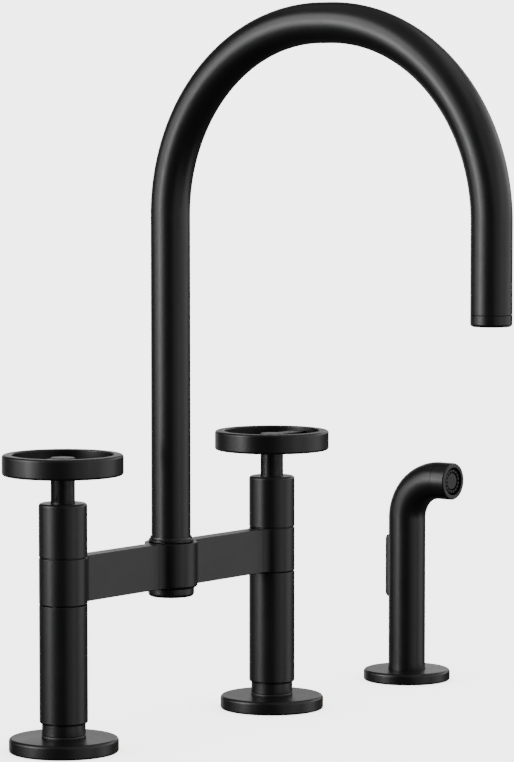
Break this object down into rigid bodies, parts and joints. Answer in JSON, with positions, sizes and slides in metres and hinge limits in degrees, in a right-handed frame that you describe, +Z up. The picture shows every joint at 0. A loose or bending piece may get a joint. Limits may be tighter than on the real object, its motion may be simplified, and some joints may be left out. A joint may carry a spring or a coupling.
{
  "type": "bridge kitchen faucet",
  "caption": "Matte black bridge kitchen faucet: handwheel on each post, high arched swivel spout, and a pull-out side spray with a trigger in its own deck socket.",
  "frame": {"origin": "on the deck plane, under the spout's column, midway between the two posts", "axes": "+Z up along the spout's column, +X along the bridge towards the side spray, -Y the way the spout reaches"},
  "size_m": [0.4169, 0.2886, 0.5234],
  "materials": {
    "matte_black_metal": "matte black coating",
    "brass": "bare machined",
    "zinc_steel": "bright zinc plate",
    "rubber": "matte black",
    "nylon": "satin black",
    "ceramic": "lapped ceramic"
  },
  "bodies": {
    "faucet_body": {"deck_gasket_left": "rubber", "escutcheon_left": "matte_black_metal", "neck_seal_left": "rubber", "neck_ring_left": "matte_black_metal", "supply_shank_left": "brass", "deck_washer_left": "zinc_steel", "lock_nut_left": "brass", "lower_post_left": "matte_black_metal", "upper_sleeve_left": "matte_black_metal", "seat_seal_left": "rubber", "fixed_disc_left": "ceramic", "cartridge_body_left": "brass", "deck_gasket_right": "rubber", "escutcheon_right": "matte_black_metal", "neck_seal_right": "rubber", "neck_ring_right": "matte_black_metal", "supply_shank_right": "brass", "deck_washer_right": "zinc_steel", "lock_nut_right": "brass", "lower_post_right": "matte_black_metal", "upper_sleeve_right": "matte_black_metal", "seat_seal_right": "rubber", "fixed_disc_right": "ceramic", "cartridge_body_right": "brass", "bridge_body": "matte_black_metal", "hub_cap": "matte_black_metal", "glide_washer": "nylon", "spout_retaining_screw": "zinc_steel", "spray_gasket": "rubber", "spray_escutcheon": "matte_black_metal", "spray_holder": "brass", "spray_deck_washer": "zinc_steel", "spray_lock_nut": "brass"},
    "spout": {"spout_swivel_shank": "brass", "spout_o_ring_lower": "rubber", "spout_o_ring_upper": "rubber", "spout_base_ring": "matte_black_metal", "spout_tube": "matte_black_metal", "aerator_housing": "matte_black_metal", "aerator_insert": "nylon", "aerator_washer": "rubber"},
    "left_handle": {"turning_disc_left": "ceramic", "spindle_left": "brass", "handwheel_left": "matte_black_metal", "handle_screw_left": "zinc_steel"},
    "right_handle": {"turning_disc_right": "ceramic", "spindle_right": "brass", "handwheel_right": "matte_black_metal", "handle_screw_right": "zinc_steel"},
    "diverter": {"diverter_poppet": "nylon"},
    "spray_socket_liner": {"spray_liner": "nylon"},
    "spray_handset": {"spray_body": "matte_black_metal", "spray_head_ring": "matte_black_metal", "spray_nozzle": "nylon", "spray_inlet": "brass", "trigger_pin": "zinc_steel", "valve_seat": "brass", "plunger_spring": "zinc_steel"},
    "trigger": {"spray_trigger": "matte_black_metal"},
    "plunger": {"valve_plunger": "nylon"}
  },
  "joints": [
    {"name": "spout_swivel", "type": "hinge", "parent": "faucet_body", "child": "spout", "pos_m": [0, 0, 0.118], "axis": [0, 0, 1], "continuous": true},
    {"name": "left_handle_turn", "type": "hinge", "parent": "faucet_body", "child": "left_handle", "pos_m": [-0.1016, 0, 0.15], "axis": [0, 0, 1], "range_deg": [0, 90]},
    {"name": "right_handle_turn", "type": "hinge", "parent": "faucet_body", "child": "right_handle", "pos_m": [0.1016, 0, 0.15], "axis": [0, 0, 1], "range_deg": [-90, 0]},
    {"name": "diverter_lift", "type": "slide", "parent": "faucet_body", "child": "diverter", "axis": [0, 0, 1], "range_m": [0, 0.0026]},
    {"name": "spray_turn", "type": "hinge", "parent": "faucet_body", "child": "spray_socket_liner", "pos_m": [0.2497, 0, 0], "axis": [0, 0, 1], "continuous": true},
    {"name": "spray_lift", "type": "slide", "parent": "spray_socket_liner", "child": "spray_handset", "axis": [0, 0, 1], "range_m": [0, 0.06]},
    {"name": "trigger_press", "type": "hinge", "parent": "spray_handset", "child": "trigger", "pos_m": [0.2497, 0.0092, 0.0925], "axis": [-1, 0, 0], "range_deg": [0, 4.5], "stiffness_Nm_per_rad": 1.2},
    {"name": "plunger_slide", "type": "slide", "parent": "spray_handset", "child": "plunger", "axis": [0, -1, 0], "range_m": [0, 0.0021], "deforming": ["plunger_spring"]}
  ],
  "couplings": [
    {"joint": "plunger_slide", "follows": "trigger_press", "m_per_rad": 0.0265}
  ]
}
